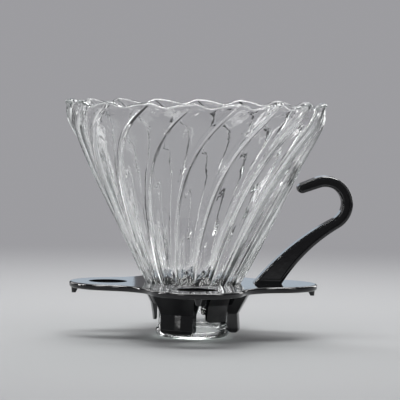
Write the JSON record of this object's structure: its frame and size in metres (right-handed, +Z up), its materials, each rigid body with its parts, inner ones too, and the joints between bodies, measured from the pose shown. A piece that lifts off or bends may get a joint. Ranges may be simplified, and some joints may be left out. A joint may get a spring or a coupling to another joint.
{
  "type": "pour over dripper",
  "caption": "Clear glass cone with swirled ribs and a petal rim, standing in a black plastic holder with a lobed plate, guard legs, snap clips and a hooked handle.",
  "frame": {"origin": "on the axis of the glass, at the bottom of its foot", "axes": "+Z up along the axis of the glass, +X from the axis towards the handle"},
  "size_m": [0.1269, 0.1164, 0.103],
  "materials": {
    "glass_clear": "clear, polished",
    "holder_black": "gloss"
  },
  "bodies": {
    "holder": {"holder_plate": "holder_black", "neck_collar": "holder_black", "guard_leg_1": "holder_black", "guard_leg_2": "holder_black", "guard_leg_3": "holder_black", "snap_clip_1": "holder_black", "snap_clip_2": "holder_black", "snap_clip_3": "holder_black", "handle": "holder_black", "plate_nub_1": "holder_black", "plate_nub_2": "holder_black", "plate_nub_3": "holder_black", "plate_nub_4": "holder_black"},
    "glass": {"glass_cone": "glass_clear"}
  },
  "joints": [
    {"name": "glass_lift", "type": "slide", "parent": "holder", "child": "glass", "axis": [0, 0, 1], "range_m": [0, 0.075]}
  ]
}
